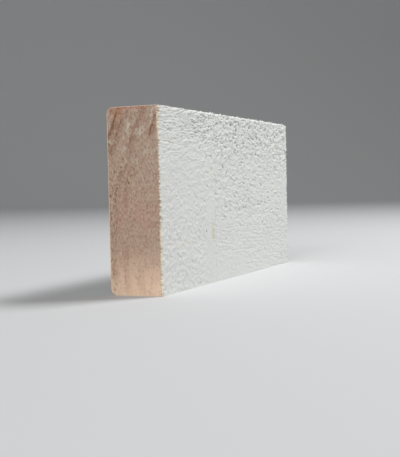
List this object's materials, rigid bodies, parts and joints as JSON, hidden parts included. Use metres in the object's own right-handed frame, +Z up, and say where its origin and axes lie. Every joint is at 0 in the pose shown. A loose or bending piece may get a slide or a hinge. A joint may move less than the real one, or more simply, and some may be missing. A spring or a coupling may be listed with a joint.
{
  "type": "trim board",
  "caption": "Short straight length of primed softwood trim board with a finger joint, one rough face and one smooth face with eased edges.",
  "frame": {"origin": "middle of the lower narrow edge, on which the board stands, halfway along its length", "axes": "+X along the board from the near end to the far end, +Y from the rough wide face to the smooth wide face, +Z up across the board's width"},
  "size_m": [0.1842, 0.027, 0.0889],
  "materials": {
    "primed_pine": "white primer on both wide faces and both narrow edges, rough sawn on one wide face and planed smooth on the other, raw saw-cut wood at both ends"
  },
  "bodies": {
    "root": {"near_block": "primed_pine", "far_block": "primed_pine"}
  },
  "joints": []
}
